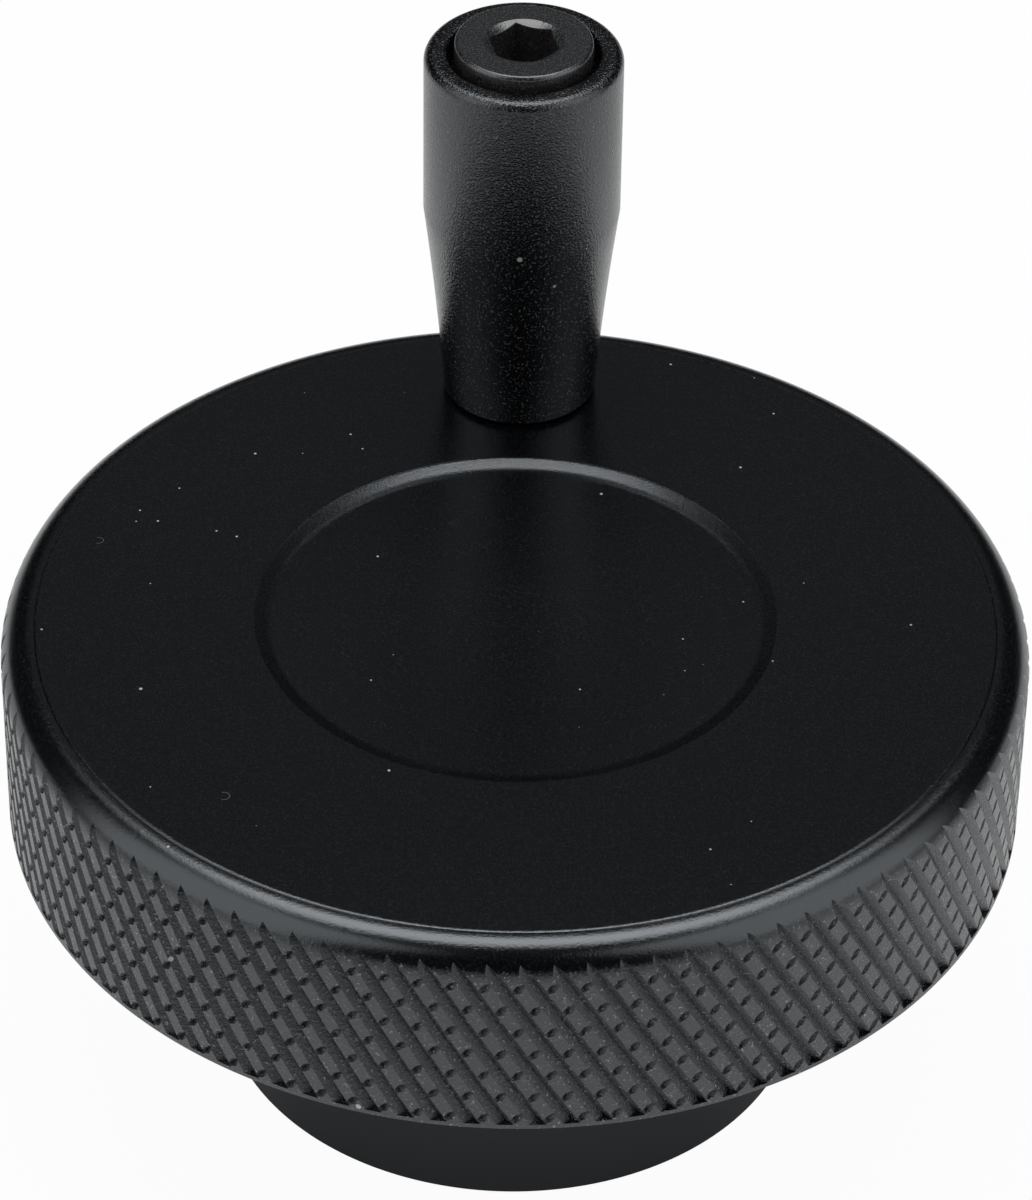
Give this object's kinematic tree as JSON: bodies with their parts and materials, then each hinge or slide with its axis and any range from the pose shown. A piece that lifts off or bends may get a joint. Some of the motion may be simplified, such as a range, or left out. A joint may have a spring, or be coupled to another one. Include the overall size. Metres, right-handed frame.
{
  "type": "machine handwheel",
  "caption": "Round disc handwheel with a diamond-knurled rim, dished face, hub with a blind shaft bore and a revolving handle.",
  "frame": {"origin": "on the shaft's axis, on the hub's end face, which the handwheel stands on", "axes": "+Z along the shaft's axis, from the hub to the dished face; +Y towards the handle"},
  "size_m": [0.08, 0.08, 0.0731],
  "materials": {
    "wheel": "turned, blasted on the knurl, black anodised, satin",
    "grip": "moulded black, finely textured",
    "spindle": "blackened",
    "screw": "blackened"
  },
  "bodies": {
    "wheel": {"wheel": "wheel", "handle_spindle": "spindle", "hub_grub_screw": "screw"},
    "handle": {"handle_grip": "grip"}
  },
  "joints": [
    {"name": "handle_spin", "type": "hinge", "parent": "wheel", "child": "handle", "pos_m": [0, 0.0305, 0.056], "axis": [0, 0, 1], "continuous": true}
  ]
}
